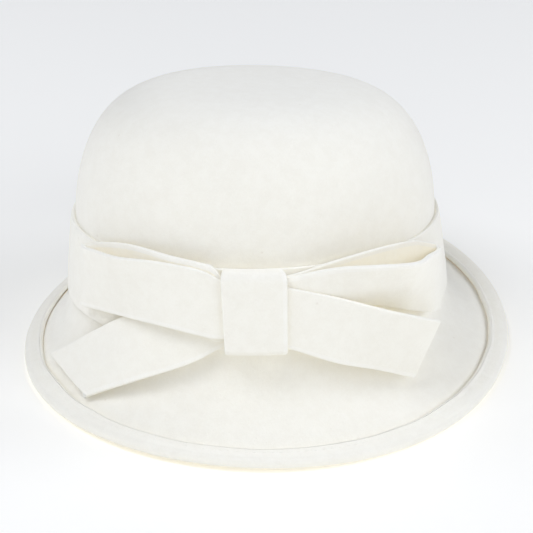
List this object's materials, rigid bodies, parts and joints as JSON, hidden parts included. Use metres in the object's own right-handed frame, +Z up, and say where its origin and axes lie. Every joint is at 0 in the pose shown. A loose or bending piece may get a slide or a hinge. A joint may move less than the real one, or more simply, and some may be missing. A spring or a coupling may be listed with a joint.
{
  "type": "cloche hat",
  "caption": "Soft felt cloche hat with a rounded crown, a curved brim with a folded hem, a felt band and a flat looped bow at the front.",
  "frame": {"origin": "on the floor under the middle of the brim's bounding box", "axes": "+Z up from the floor on which the brim rests; -Y toward the front of the hat, +X toward the hat's left side as it is worn"},
  "size_m": [0.2213, 0.266, 0.135],
  "materials": {
    "body_felt": "matt wool felt, brushed nap",
    "band_felt": "matt wool felt, cut edges",
    "strip_felt": "matt wool felt, cut edges",
    "knot_felt": "matt wool felt, cut edges"
  },
  "bodies": {
    "root": {"felt_body": "body_felt", "hat_band": "band_felt", "bow_strip": "strip_felt", "bow_knot": "knot_felt"}
  },
  "joints": []
}
